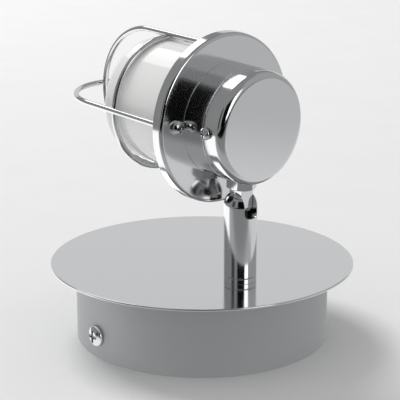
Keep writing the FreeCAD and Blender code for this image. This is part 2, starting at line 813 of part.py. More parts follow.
def holder_contacts():
    contacts = []
    for side in screw_sides():
        back = vec(CONTACT_BACK, side * CONTACT_SPREAD, HEAD_RISE)
        middle = vec(-2.5, side * CONTACT_SPREAD, HEAD_RISE)
        front = vec(-10.2, side * CONTACT_SPREAD, HEAD_RISE)
        contacts.append(rod_between(back, front, 1.85).cut(rod_between(middle, front, 0.8)))
    return contacts


def bulb_base():
    body = block(LAMP_SHOULDER, LAMP_BACK, -6.9, 6.9, HEAD_RISE - 3.1, HEAD_RISE + 3.1)
    return body.makeFillet(0.8, [edge for edge in body.Edges if abs(edge.tangentAt(0).x) > 0.9])


def bulb_pins():
    pins = []
    for side in screw_sides():
        start = vec(LAMP_BACK, side * CONTACT_SPREAD, HEAD_RISE)
        pins.append(rod_between(start, start + vec(LAMP_PIN_LENGTH, 0, 0), LAMP_PIN_RADIUS))
    return pins


def bulb_envelope():
    profile = [
        (LAMP_SHOULDER, 0, 0),
        (LAMP_SHOULDER, LAMP_RADIUS, 0.6),
        (LAMP_END, LAMP_RADIUS, LAMP_RADIUS - 1.0),
        (LAMP_END, 0, 0),
    ]
    return on_head_axis(turned_about_x(profile))


def glass_collar():
    # The short threaded collar that the glass screws over.
    inner = GLASS_RADIUS - GLASS_WALL - 1.7
    outer = GLASS_RADIUS - GLASS_WALL - 0.6
    low = RING_PLATE_FRONT
    profile = [
        (low, inner, 0),
        (low, outer, 0),
        (low - 3.0, outer, 0),
        (low - 3.6, outer + 0.4, 0),
        (low - 4.2, outer, 0),
        (low - 5.6, outer, 0),
        (low - 6.2, outer + 0.4, 0),
        (low - 6.8, outer, 0),
        (low - 8.0, outer, 0.3),
        (low - 8.0, inner, 0),
    ]
    return on_head_axis(turned_about_x(profile))


def glass_gasket():
    inner = GLASS_RADIUS - GLASS_WALL - 0.4
    profile = [
        (RING_PLATE_FRONT, inner, 0),
        (RING_PLATE_FRONT, GLASS_RADIUS + 0.3, 0.3),
        (GLASS_BACK, GLASS_RADIUS + 0.3, 0.3),
        (GLASS_BACK, inner, 0),
    ]
    gasket = on_head_axis(turned_about_x(profile))
    for side in screw_sides():
        start = vec(RING_PLATE_BACK, side * FLANGE_SCREW_REACH, HEAD_RISE)
        gasket = gasket.cut(rod_between(start, start - vec(5, 0, 0), 1.6))
    return gasket


def opal_glass():
    inner = GLASS_RADIUS - GLASS_WALL
    profile = [
        (GLASS_BACK, inner, 0.4),
        (GLASS_BACK, GLASS_RADIUS, 0.6),
        (GLASS_END, GLASS_RADIUS, 4.0),
        (GLASS_END, 0, 0),
        (GLASS_END + GLASS_WALL, 0, 0),
        (GLASS_END + GLASS_WALL, inner, 2.5),
    ]
    return on_head_axis(turned_about_x(profile))


def cage_wire(bend_start, turn, radius):
    # One wire: a straight leg, a half circle over the front and the other leg.
    reach = CAGE_LEG_RADIUS
    foot = RING_PLATE_FRONT
    top = vec(bend_start, 0, reach)
    apex = vec(bend_start - reach, 0, 0)
    bottom = vec(bend_start, 0, -reach)
    first_leg = Part.LineSegment(vec(foot, 0, reach), top).toShape()
    bend = Part.Arc(top, apex, bottom).toShape()
    second_leg = Part.LineSegment(bottom, vec(foot, 0, -reach)).toShape()
    path = Part.Wire([first_leg, bend, second_leg])
    section = Part.Wire(Part.Circle(vec(foot, 0, reach), X_AXIS, radius).toShape())
    wire = path.makePipeShell([section], True, True)
    wire.rotate(ORIGIN, X_AXIS, turn)
    wire.translate(vec(0, 0, -CAGE_DROP))
    return on_head_axis(wire)


def vertical_wire(radius):
    return cage_wire(CAGE_BEND_START, 0, radius)


def horizontal_wire(radius):
    # It passes in front of the vertical wire where they cross.
    return cage_wire(CAGE_BEND_START - 2 * WIRE_RADIUS - 0.02, 90, radius)


def cage_loop_vertical():
    return vertical_wire(WIRE_RADIUS)


def cage_loop_horizontal():
    return horizontal_wire(WIRE_RADIUS)


def cage_ring():
    # The legs are set into the ring where they are welded to it.
    ring = Part.makeTorus(CAGE_RING_RADIUS, WIRE_RADIUS, vec(CAGE_RING_BACK, 0, -CAGE_DROP), X_AXIS)
    seat_radius = WIRE_RADIUS + 0.01
    return on_head_axis(ring).cut(vertical_wire(seat_radius)).cut(horizontal_wire(seat_radius))


def head_leads():
    # Up the front of the slot, through the tongue's bore and round to the back of the lampholder.
    leads = []
    for side in screw_sides():
        near = side * (LEAD_RADIUS + 0.03)
        points = [
            vec(-4.6, near, -0.6),
            vec(-4.6, near, 2.2),
            vec(-0.2, near, 6.2),
            vec(0, near, 13.0),
            vec(1.0, near * 1.6, 17.6),
            vec(4.9, side * 3.6, 21.8),
            vec(5.6, side * CONTACT_SPREAD, HEAD_RISE - 4.0),
            vec(4.8, side * CONTACT_SPREAD, HEAD_RISE),
            vec(CONTACT_BACK, side * CONTACT_SPREAD, HEAD_RISE),
        ]
        leads.append(lead(points, LEAD_RADIUS))
    return leads


# Writing the pieces

def as_list(pieces):
    return pieces if isinstance(pieces, list) else [pieces]


def solids_of(pieces):
    solids = []
    for piece in as_list(pieces):
        solids.extend(piece.Solids)
    return solids


def write(name, pieces):
    solids = solids_of(pieces)
    for solid in solids:
        if not solid.isValid():
            print("not valid:", name)
    shape = solids[0] if len(solids) == 1 else Part.makeCompound(solids)
    shape.exportStep("parts/" + name + ".step")
    print(name, len(solids), round(sum(solid.Volume for solid in solids), 1))


BASE_PIECES = {
    "base_cup": base_cup,
    "cover_plate": cover_plate,
    "plate_nuts": plate_nuts,
    "wall_bracket": wall_bracket,
    "side_screws": side_screws,
    "cable_grommet": cable_grommet,
    "terminal_block": terminal_block,
    "terminal_sleeves": terminal_sleeves,
    "terminal_screws": terminal_screws,
    "terminal_block_screw": block_screw,
    "earth_screw": earth_screw,
    "earth_tag": earth_tag,
    "earth_lead": earth_lead,
    "base_leads": base_leads,
    "stop_pin": stop_pin,
}

STEM_PIECES = {
    "swivel_collar": swivel_collar,
    "friction_washer": friction_washer,
    "stop_washer": stop_washer,
    "disc_spring": disc_spring,
    "swivel_nut": swivel_nut,
    "threaded_nipple": threaded_nipple,
    "knuckle_tube": knuckle_tube,
    "pivot_pin": pivot_pin,
    "stem_leads": stem_leads,
}

HEAD_PIECES = {
    "pivot_tongue": pivot_tongue,
    "stem_nut": stem_nut,
    "stem_inner_nut": stem_inner_nut,
    "head_body": head_body,
    "rear_cap": rear_cap,
    "cap_screws": cap_screws,
    "flange_dish": flange_dish,
    "flange_screws": flange_screws,
    "mounting_ring": mounting_ring,
    "holder_screws": holder_screws,
    "lampholder": lampholder,
    "holder_contacts": holder_contacts,
    "bulb_base": bulb_base,
    "bulb_pins": bulb_pins,
    "bulb_envelope": bulb_envelope,
    "glass_collar": glass_collar,
    "glass_gasket": glass_gasket,
    "opal_glass": opal_glass,
    "cage_ring": cage_ring,
    "cage_loop_vertical": cage_loop_vertical,
    "cage_loop_horizontal": cage_loop_horizontal,
    "head_leads": head_leads,
}


def main():
    os.makedirs("parts", exist_ok=True)
    for name, make in BASE_PIECES.items():
        write(name, make())
    for name, make in STEM_PIECES.items():
        write(name, [on_stem(solid) for solid in solids_of(make())])
    for name, make in HEAD_PIECES.items():
        write(name, [on_head(solid) for solid in solids_of(make())])


main()
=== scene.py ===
import json
import math

import bpy
from mathutils import Matrix, Vector


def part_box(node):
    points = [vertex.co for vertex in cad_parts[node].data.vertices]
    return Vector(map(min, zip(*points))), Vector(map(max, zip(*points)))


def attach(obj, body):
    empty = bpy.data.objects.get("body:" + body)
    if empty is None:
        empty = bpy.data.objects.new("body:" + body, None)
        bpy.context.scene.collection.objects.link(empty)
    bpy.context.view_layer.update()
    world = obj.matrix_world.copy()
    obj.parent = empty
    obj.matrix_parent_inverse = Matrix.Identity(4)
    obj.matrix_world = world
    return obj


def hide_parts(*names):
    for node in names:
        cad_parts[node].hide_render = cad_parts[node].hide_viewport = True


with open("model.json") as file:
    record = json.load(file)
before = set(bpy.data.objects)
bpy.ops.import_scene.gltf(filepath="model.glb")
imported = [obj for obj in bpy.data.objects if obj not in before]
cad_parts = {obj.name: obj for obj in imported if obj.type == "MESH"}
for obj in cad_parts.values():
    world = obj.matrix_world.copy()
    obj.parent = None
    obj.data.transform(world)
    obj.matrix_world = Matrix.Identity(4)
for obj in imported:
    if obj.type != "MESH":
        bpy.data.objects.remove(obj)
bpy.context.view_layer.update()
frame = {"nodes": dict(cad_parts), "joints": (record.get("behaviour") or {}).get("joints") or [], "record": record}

bl_info = {
    "name": "Pivoting Spotlight",
    "version": (1, 0, 0),
    "blender": (4, 5, 0),
    "location": "View3D > Sidebar > Spotlight",
    "description": "Builds the finished surfaces of a pivoting wall spotlight round its frame",
    "category": "Object",
}

MM = 0.001
JOINTS = {joint["name"]: joint for joint in frame["joints"]}
STEM_FOOT = Vector(JOINTS["swivel"]["pos_m"])
PIVOT = Vector(JOINTS["tilt"]["pos_m"])
TILT_AXIS = Vector(JOINTS["tilt"]["axis"])
PLATE_TOP = STEM_FOOT.z
PLATE_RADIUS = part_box("cover_plate")[1].x
CUP_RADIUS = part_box("base_cup")[1].x
CUP_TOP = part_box("base_cup")[1].z
STEM_RADIUS = 6.35 * MM
HEAD_LEAN = math.radians(3.3)
HEAD_RISE = 31.35 * MM
DRUM_RADIUS = 21.5 * MM
DRUM_BORE = 20.3 * MM
FLANGE_BACK = -9.5 * MM

# The head's parts are drawn with X along the head's axis to the back and Z up the tongue.
HEAD_TURN = math.atan2(TILT_AXIS.y, TILT_AXIS.x) - math.pi / 2
TURN_MATRIX = Matrix.Rotation(HEAD_TURN, 4, "Z")
LEAN_MATRIX = Matrix.Rotation(HEAD_LEAN, 4, "Y")
STEM_FRAME = Matrix.Translation((STEM_FOOT.x, STEM_FOOT.y, 0)) @ TURN_MATRIX
HEAD_FRAME = Matrix.Translation(PIVOT) @ TURN_MATRIX @ LEAN_MATRIX
AXIS_FRAME = HEAD_FRAME @ Matrix.Translation((0, 0, HEAD_RISE))
BASE_FRAME = Matrix.Identity(4)

TURN_STEPS = 240
FILLET_STEPS = 8
MERGE = 1e-7
SMOOTH_ANGLE = math.radians(32)


class SpotlightSizes(bpy.types.PropertyGroup):
    """Sizes of the pieces that can be changed without moving the frame"""

    wire_radius: bpy.props.FloatProperty(
        name="Wire Radius", description="Radius of the cage wire", default=1.1 * MM, unit="LENGTH")
    glass_fillet: bpy.props.FloatProperty(
        name="Glass Edge", description="Round of the glass's front edge",
        default=4.0 * MM, unit="LENGTH")
    cap_fillet: bpy.props.FloatProperty(
        name="Cap Edge", description="Round of the rear cap's edge", default=2.9 * MM, unit="LENGTH")
    weld_size: bpy.props.FloatProperty(
        name="Weld Size", description="Radius of the weld beads on the cage",
        default=1.25 * MM, unit="LENGTH")


class SpotlightFinishes(bpy.types.PropertyGroup):
    """Colours and roughness of the finishes"""

    chrome_color: bpy.props.FloatVectorProperty(
        name="Chrome", description="Tint of the polished chrome", size=3, subtype="COLOR",
        min=0, max=1, default=(0.70, 0.705, 0.71))
    chrome_roughness: bpy.props.FloatProperty(
        name="Chrome Roughness", description="Blur of the polished chrome", default=0.014, min=0, max=1)
    satin_color: bpy.props.FloatVectorProperty(
        name="Satin Grey", description="Colour of the satin cup", size=3, subtype="COLOR",
        min=0, max=1, default=(0.17, 0.17, 0.175))
    satin_roughness: bpy.props.FloatProperty(
        name="Satin Roughness", description="Blur of the satin cup", default=0.36, min=0, max=1)
    opal_color: bpy.props.FloatVectorProperty(
        name="Opal White", description="Colour of the opal glass", size=3, subtype="COLOR",
        min=0, max=1, default=(0.98, 0.98, 0.975))


class SpotlightStudio(bpy.types.PropertyGroup):
    """Light and surroundings of the picture"""

    sky_strength: bpy.props.FloatProperty(
        name="Sky", description="Even light from all round", default=0.56, min=0)
    key_power: bpy.props.FloatProperty(
        name="Key Light", description="Power of the large soft light",
        default=50.0, min=0, unit="POWER")
    floor_color: bpy.props.FloatVectorProperty(
        name="Floor", description="Colour of the pale floor", size=3, subtype="COLOR",
        min=0, max=1, default=(0.84, 0.84, 0.84))


# Tools for modelling

def deselect_all():
    if bpy.context.object and bpy.context.object.mode != "OBJECT":
        bpy.ops.object.mode_set(mode="OBJECT")
    bpy.ops.object.select_all(action="DESELECT")


def only(piece):
    deselect_all()
    bpy.context.view_layer.objects.active = piece
    piece.select_set(True)


def edit(mode="VERT"):
    bpy.ops.object.mode_set(mode="EDIT")
    bpy.ops.mesh.select_mode(type=mode)
    bpy.ops.mesh.select_all(action="SELECT")


def leave_edit():
    bpy.ops.mesh.select_all(action="SELECT")
    bpy.ops.mesh.remove_doubles(threshold=MERGE)
    bpy.ops.mesh.normals_make_consistent(inside=False)
    bpy.ops.object.mode_set(mode="OBJECT")


def named(name):
    piece = bpy.context.object
    piece.name = name
    piece.data.name = name
    return piece


def rounded(outline):
    """Points of a closed outline of (u, v) or (u, v, radius) corners, with the radii as arcs"""
    corners = [Vector(corner[:2]) for corner in outline]
    radii = [corner[2] if len(corner) > 2 else 0 for corner in outline]
    points = []
    for index, here in enumerate(corners):
        radius = radii[index]
        if radius == 0:
            points.append(here)
            continue
        before = (corners[index - 1] - here).normalized()
        after = (corners[(index + 1) % len(corners)] - here).normalized()
        half = before.angle(after) / 2
        reach = radius / math.tan(half)
        bisector = (before + after).normalized()
        centre = here + bisector * (radius / math.sin(half))
        start = here + before * reach - centre
        end = here + after * reach - centre
        sweep = start.angle_signed(end)
        for step in range(FILLET_STEPS + 1):
            turn = Matrix.Rotation(-sweep * step / FILLET_STEPS, 2)
            points.append(centre + turn @ start)
    return points


def draw_outline(places, closed=True):
    """An open or closed line of points, extruded one after another from a single point"""
    deselect_all()
    bpy.ops.mesh.primitive_plane_add(size=MM)
    edit()
    bpy.ops.mesh.merge(type="CENTER")
    bpy.ops.transform.translate(value=places[0])
    following = places[1:] + places[:1] if closed else places[1:]
    here = places[0]
    for there in following:
        bpy.ops.mesh.extrude_region_move(TRANSFORM_OT_translate={"value": there - here})
        here = there
    bpy.ops.mesh.select_all(action="SELECT")
    bpy.ops.mesh.remove_doubles(threshold=MERGE)
    bpy.ops.mesh.select_all(action="SELECT")


def turned(name, outline, axis="X", steps=TURN_STEPS):
    """A solid turned from corners of (along the axis, radius, corner radius)"""
    points = rounded(outline)
    closed = min(point.y for point in points) > 0
    if axis == "X":
        places = [Vector((point.x, 0, point.y)) for point in points]
        direction = (1, 0, 0)
    else:
        places = [Vector((point.y, 0, point.x)) for point in points]
        direction = (0, 0, 1)
    draw_outline(places, closed)
    bpy.ops.mesh.spin(steps=steps, angle=2 * math.pi, center=(0, 0, 0), axis=direction)
    leave_edit()
    return named(name)


def bar(name, outline, half_width):
    """A flat piece with its outline in the XZ plane, extruded both ways along Y"""
    places = [Vector((point.x, -half_width, point.y)) for point in rounded(outline)]
    draw_outline(places)
    bpy.ops.mesh.edge_face_add()
    bpy.ops.mesh.extrude_region_move(TRANSFORM_OT_translate={"value": (0, 2 * half_width, 0)})
    leave_edit()
    return named(name)


def block(name, low, high):
    deselect_all()
    low = Vector(low)
    high = Vector(high)
    bpy.ops.mesh.primitive_cube_add(size=1, location=(low + high) / 2)
    bpy.context.object.scale = high - low
    bpy.ops.object.transform_apply(location=True, rotation=True, scale=True)
    return named(name)


def pointing(direction, position):
    """The placement that turns Z to a direction and moves to a position"""
    turn = Vector(direction).to_track_quat("Z", "Y").to_matrix().to_4x4()
    return Matrix.Translation(position) @ turn


def rod(name, start, end, radius, steps=48):
    deselect_all()
    start = Vector(start)
    end = Vector(end)
    along = end - start
    bpy.ops.mesh.primitive_cylinder_add(vertices=steps, radius=radius, depth=along.length)
    piece = bpy.context.object
    piece.matrix_world = pointing(along, (start + end) / 2)
    bpy.ops.object.transform_apply(location=True, rotation=True, scale=True)
    return named(name)


def modify(piece, kind, **settings):
    only(piece)
    modifier = piece.modifiers.new(kind.title(), kind)
    for setting, value in settings.items():
        setattr(modifier, setting, value)
    bpy.ops.object.modifier_apply(modifier=modifier.name)


def cut(piece, tools, operation="DIFFERENCE"):
    for tool in tools:
        modify(piece, "BOOLEAN", object=tool, operation=operation, solver="EXACT")
        bpy.data.objects.remove(tool)


def bevel(piece, width, segments=3, angle=35):
    modify(piece, "BEVEL", width=width, segments=segments, limit_method="ANGLE",
           angle_limit=math.radians(angle), harden_normals=False, use_clamp_overlap=True)


def joined(name, pieces):
    deselect_all()
    for piece in pieces:
        piece.select_set(True)
    bpy.context.view_layer.objects.active = pieces[0]
    bpy.ops.object.join()
    return named(name)


def copied(piece, placement):
    twin = piece.copy()
    twin.data = piece.data.copy()
    bpy.context.scene.collection.objects.link(twin)
    settle(twin, placement)
    return twin


def settle(piece, placement):
    """Put a piece at its place and leave the place in its mesh"""
    only(piece)
    piece.matrix_world = placement @ piece.matrix_world
    bpy.ops.object.transform_apply(location=True, rotation=True, scale=True)


def finish_piece(piece, placement, body, finish, nodes=(), smooth=True):
    settle(piece, placement)
    if smooth:
        bpy.ops.object.shade_smooth_by_angle(angle=SMOOTH_ANGLE)
        modify(piece, "WEIGHTED_NORMAL", keep_sharp=True, weight=100)
    piece.data.materials.clear()
    piece.data.materials.append(material(finish))
    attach(piece, body)
    if nodes:
        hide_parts(*nodes)


# Finishes

class Surface:
    """A small helper that lays out one Principled material"""

    def __init__(self, name):
        self.material = bpy.data.materials.new(name)
        self.material.use_nodes = True
        self.tree = self.material.node_tree
        self.shader = self.tree.nodes["Principled BSDF"]
        self.coordinates = self.node("ShaderNodeTexCoord")

    def node(self, kind, **settings):
        made = self.tree.nodes.new(kind)
        for setting, value in settings.items():
            setattr(made, setting, value)
        return made

    def link(self, output, socket):
        self.tree.links.new(output, socket)

    def set(self, **sockets):
        for socket, value in sockets.items():
            self.shader.inputs[socket.replace("_", " ")].default_value = value

    def noise(self, scale, detail=2.0, stretch=(1, 1, 1)):
        mapping = self.node("ShaderNodeMapping")
        mapping.inputs["Scale"].default_value = stretch
        self.link(self.coordinates.outputs["Object"], mapping.inputs["Vector"])
        texture = self.node("ShaderNodeTexNoise")
        texture.inputs["Scale"].default_value = scale
        texture.inputs["Detail"].default_value = detail
        self.link(mapping.outputs["Vector"], texture.inputs["Vector"])
        return texture.outputs["Fac"]

    def ramp(self, factor, low, high, start=0.35, end=0.65):
        """Values from low to high as the factor goes from start to end"""
        made = self.node("ShaderNodeMapRange")
        made.inputs["From Min"].default_value = start
        made.inputs["From Max"].default_value = end
        made.inputs["To Min"].default_value = low
        made.inputs["To Max"].default_value = high
        self.link(factor, made.inputs["Value"])
        return made.outputs["Result"]

    def tint(self, factor, low, high):
        """Base colour from low to high as the factor goes from 0 to 1"""
        mix = self.node("ShaderNodeMix", data_type="RGBA")
        amount, first, second = [socket for socket in mix.inputs if socket.enabled]
        self.link(factor, amount)
        first.default_value = (*low, 1)
        second.default_value = (*high, 1)
        color = [socket for socket in mix.outputs if socket.enabled][0]
        self.link(color, self.shader.inputs["Base Color"])

    def rough(self, factor, low, high):
        self.link(self.ramp(factor, low, high), self.shader.inputs["Roughness"])

    def bump(self, height, strength, distance):
        made = self.node("ShaderNodeBump")
        made.inputs["Strength"].default_value = strength
        made.inputs["Distance"].default_value = distance
        self.link(height, made.inputs["Height"])
        self.link(made.outputs["Normal"], self.shader.inputs["Normal"])


def shade(color, factor):
    return tuple(min(1.0, channel * factor) for channel in color)


def chrome():
    settings = bpy.context.scene.spotlight_finishes
    surface = Surface("chrome")
    surface.set(Metallic=1.0)
    color = tuple(settings.chrome_color)
    surface.tint(surface.noise(60, 3), shade(color, 0.98), shade(color, 1.02))
    low = settings.chrome_roughness * 0.6
    high = settings.chrome_roughness * 1.6
    surface.rough(surface.noise(140, 4), low, high)
    surface.bump(surface.noise(55, 1), 0.012, 0.2 * MM)
    return surface.material


def satin_grey():
    settings = bpy.context.scene.spotlight_finishes
    surface = Surface("satin_grey")
    surface.set(Metallic=1.0)
    color = tuple(settings.satin_color)
    surface.tint(surface.noise(900, 3), shade(color, 0.93), shade(color, 1.07))
    rough = settings.satin_roughness
    surface.rough(surface.noise(300, 3), rough * 0.85, rough * 1.15)
    surface.bump(surface.noise(2600, 2), 0.12, 0.02 * MM)
    return surface.material


def zinc_steel():
    surface = Surface("zinc_steel")
    surface.set(Metallic=1.0)
    surface.tint(surface.noise(260, 4), (0.50, 0.52, 0.55), (0.66, 0.67, 0.68))
    surface.rough(surface.noise(420, 3), 0.22, 0.42)
    surface.bump(surface.noise(1500, 2), 0.15, 0.02 * MM)
    return surface.material


def spring_steel():
    surface = Surface("spring_steel")
    surface.set(Metallic=1.0)
    surface.tint(surface.noise(220, 4), (0.10, 0.11, 0.14), (0.22, 0.22, 0.25))
    surface.rough(surface.noise(400, 3), 0.25, 0.4)
    return surface.material


def brass():
    surface = Surface("brass")
    surface.set(Metallic=1.0)
    surface.tint(surface.noise(300, 4), (0.62, 0.45, 0.18), (0.80, 0.63, 0.32))
    surface.rough(surface.noise(500, 3), 0.18, 0.36)
    return surface.material


def black_rubber():
    surface = Surface("black_rubber")
    surface.tint(surface.noise(500, 4), (0.012, 0.012, 0.012), (0.03, 0.03, 0.03))
    surface.rough(surface.noise(700, 3), 0.55, 0.8)
    surface.bump(surface.noise(2200, 3), 0.3, 0.03 * MM)
    return surface.material


def white_plastic():
    surface = Surface("white_plastic")
    surface.tint(surface.noise(200, 3), (0.70, 0.70, 0.68), (0.80, 0.80, 0.78))
    surface.rough(surface.noise(600, 2), 0.38, 0.52)
    surface.bump(surface.noise(1800, 2), 0.1, 0.02 * MM)
    return surface.material


def nylon():
    surface = Surface("nylon")
    surface.set(Subsurface_Weight=0.2)
    surface.tint(surface.noise(240, 3), (0.68, 0.66, 0.58), (0.78, 0.76, 0.69))
    surface.rough(surface.noise(500, 2), 0.4, 0.55)
    return surface.material


def ceramic():
    surface = Surface("ceramic")
    surface.tint(surface.noise(350, 4), (0.78, 0.76, 0.70), (0.86, 0.85, 0.80))
    surface.rough(surface.noise(500, 3), 0.25, 0.45)
    surface.bump(surface.noise(1400, 3), 0.15, 0.03 * MM)
    return surface.material


def clear_glass():
    surface = Surface("clear_glass")
    surface.set(Transmission_Weight=1.0, IOR=1.46)
    surface.tint(surface.noise(120, 2), (0.94, 0.95, 0.95), (0.98, 0.98, 0.98))
    surface.rough(surface.noise(300, 2), 0.01, 0.06)
    return surface.material


def opal_glass():
    settings = bpy.context.scene.spotlight_finishes
    surface = Surface("opal_glass")
    surface.set(Subsurface_Weight=0.35, Subsurface_Radius=(1.0, 1.0, 0.95))
    surface.set(Subsurface_Scale=3 * MM, IOR=1.5)
    color = tuple(settings.opal_color)
    surface.tint(surface.noise(70, 2), shade(color, 0.99), shade(color, 1.01))
    surface.rough(surface.noise(260, 3), 0.28, 0.4)
    return surface.material


def lead_insulation():
    surface = Surface("lead_insulation")
    surface.tint(surface.noise(260, 3), (0.60, 0.58, 0.54), (0.72, 0.70, 0.66))
    surface.rough(surface.noise(600, 2), 0.4, 0.6)
    return surface.material


def earth_insulation():
    surface = Surface("earth_insulation")
    surface.tint(surface.noise(180, 1, (1, 4, 1)), (0.10, 0.32, 0.05), (0.62, 0.60, 0.06))
    surface.rough(surface.noise(600, 2), 0.4, 0.6)
    return surface.material


FINISHES = {
    "chrome": chrome,
    "satin_grey": satin_grey,
    "zinc_steel": zinc_steel,
    "spring_steel": spring_steel,
    "brass": brass,
    "black_rubber": black_rubber,
    "white_plastic": white_plastic,
    "nylon": nylon,
    "ceramic": ceramic,
    "clear_glass": clear_glass,
    "opal_glass": opal_glass,
    "lead_insulation": lead_insulation,
    "earth_insulation": earth_insulation,
}


def material(name):
    if name not in bpy.data.materials:
        FINISHES[name]()
    return bpy.data.materials[name]


# Operators for the pieces

class SPOTLIGHT_OT_frame_finishes(bpy.types.Operator):
    """Give every node of the frame the finish that its record names"""

    bl_idname = "spotlight.frame_finishes"
    bl_label = "Finish the Frame"

    def execute(self, context):
        for entry in frame["record"]["subparts"]:
            node = frame["nodes"][entry["node"]]
            finish = material(entry["material_slot"])
            if not node.material_slots:
                node.data.materials.append(finish)
            for slot in node.material_slots:
                slot.material = finish
        return {"FINISHED"}


class SPOTLIGHT_OT_base(bpy.types.Operator):
    """Turn the cover plate and the cup under it"""

    bl_idname = "spotlight.base"
    bl_label = "Plate and Cup"

    def execute(self, context):
        thickness = 0.8 * MM
        plate = turned("polished_plate", [
            (PLATE_TOP, 0),
            (PLATE_TOP, PLATE_RADIUS, 0.35 * MM),
            (PLATE_TOP - thickness, PLATE_RADIUS, 0.25 * MM),
            (PLATE_TOP - thickness, 0),
        ], "Z")
        finish_piece(plate, BASE_FRAME, "base", "chrome", ["cover_plate"])
        wall = 1.0 * MM
        cup = turned("satin_cup", [
            (CUP_TOP, 0),
            (CUP_TOP, CUP_RADIUS, 1.5 * MM),
            (0, CUP_RADIUS, 0.35 * MM),
            (0, CUP_RADIUS - wall, 0.35 * MM),
            (CUP_TOP - wall, CUP_RADIUS - wall, 0.5 * MM),
            (CUP_TOP - wall, 0),
        ], "Z")
        finish_piece(cup, BASE_FRAME, "base", "satin_grey", ["base_cup"])
        return {"FINISHED"}


def pan_head(name, radius, height, shank, shank_length):
    """A pan head screw standing on its seat, with a cross recess"""
    screw = turned(name, [
        (height, 0),
        (height, radius * 0.55, radius * 0.4),
        (height * 0.55, radius, height * 0.5),
        (0, radius, 0.1 * MM),
        (0, shank),
        (-shank_length, shank, 0.3 * MM),
        (-shank_length, 0),
    ], "Z", 64)
    arm = radius * 0.62
    half = radius * 0.16
    depth = radius * 0.5
    tools = [
        block("recess", (-arm, -half, height - depth), (arm, half, height + MM)),
        block("recess", (-half, -arm, height - depth), (half, arm, height + MM)),
    ]
    for tool in tools:
        bevel(tool, 0.12 * MM, 2)
    cut(screw, tools)
    return screw


class SPOTLIGHT_OT_screws(bpy.types.Operator):
    """Make the pan head screws in the cup, the cap and the flange"""

    bl_idname = "spotlight.screws"
    bl_label = "Screws"

    # Radius and height of the head, then radius and length of the shank
    side_screw = (4.0 * MM, 2.3 * MM, 1.95 * MM, 7.4 * MM)
    lip_screw = (2.3 * MM, 1.6 * MM, 1.1 * MM, 3.6 * MM)
    dish_screw = (2.75 * MM, 2.0 * MM, 1.4 * MM, 2.9 * MM)
    side_height = 9.0 * MM
    side_gap = 0.05 * MM
    lip_place = 2.4 * MM
    dish_reach = 24.6 * MM
    gap = 0.02 * MM

    def execute(self, context):
        seat = CUP_RADIUS + self.side_gap
        self.pair("cup_screws", self.side_screw, BASE_FRAME, "base", "side_screws",
                  [((side, 0, 0), (side * seat, 0, self.side_height)) for side in (-1, 1)])
        seat = DRUM_RADIUS + self.gap
        self.pair("lip_screws", self.lip_screw, AXIS_FRAME, "head", "cap_screws",
                  [((0, side, 0), (self.lip_place, side * seat, 0)) for side in (-1, 1)])
        seat = FLANGE_BACK + self.gap
        self.pair("dish_screws", self.dish_screw, AXIS_FRAME, "head", "flange_screws",
                  [((1, 0, 0), (seat, side * self.dish_reach, 0)) for side in (-1, 1)])
        return {"FINISHED"}

    def pair(self, name, sizes, placement, body, node, places):
        first = pan_head(name, *sizes)
        twins = [copied(first, pointing(direction, position)) for direction, position in places]
        bpy.data.objects.remove(first)
        finish_piece(joined(name, twins), placement, body, "chrome", [node])


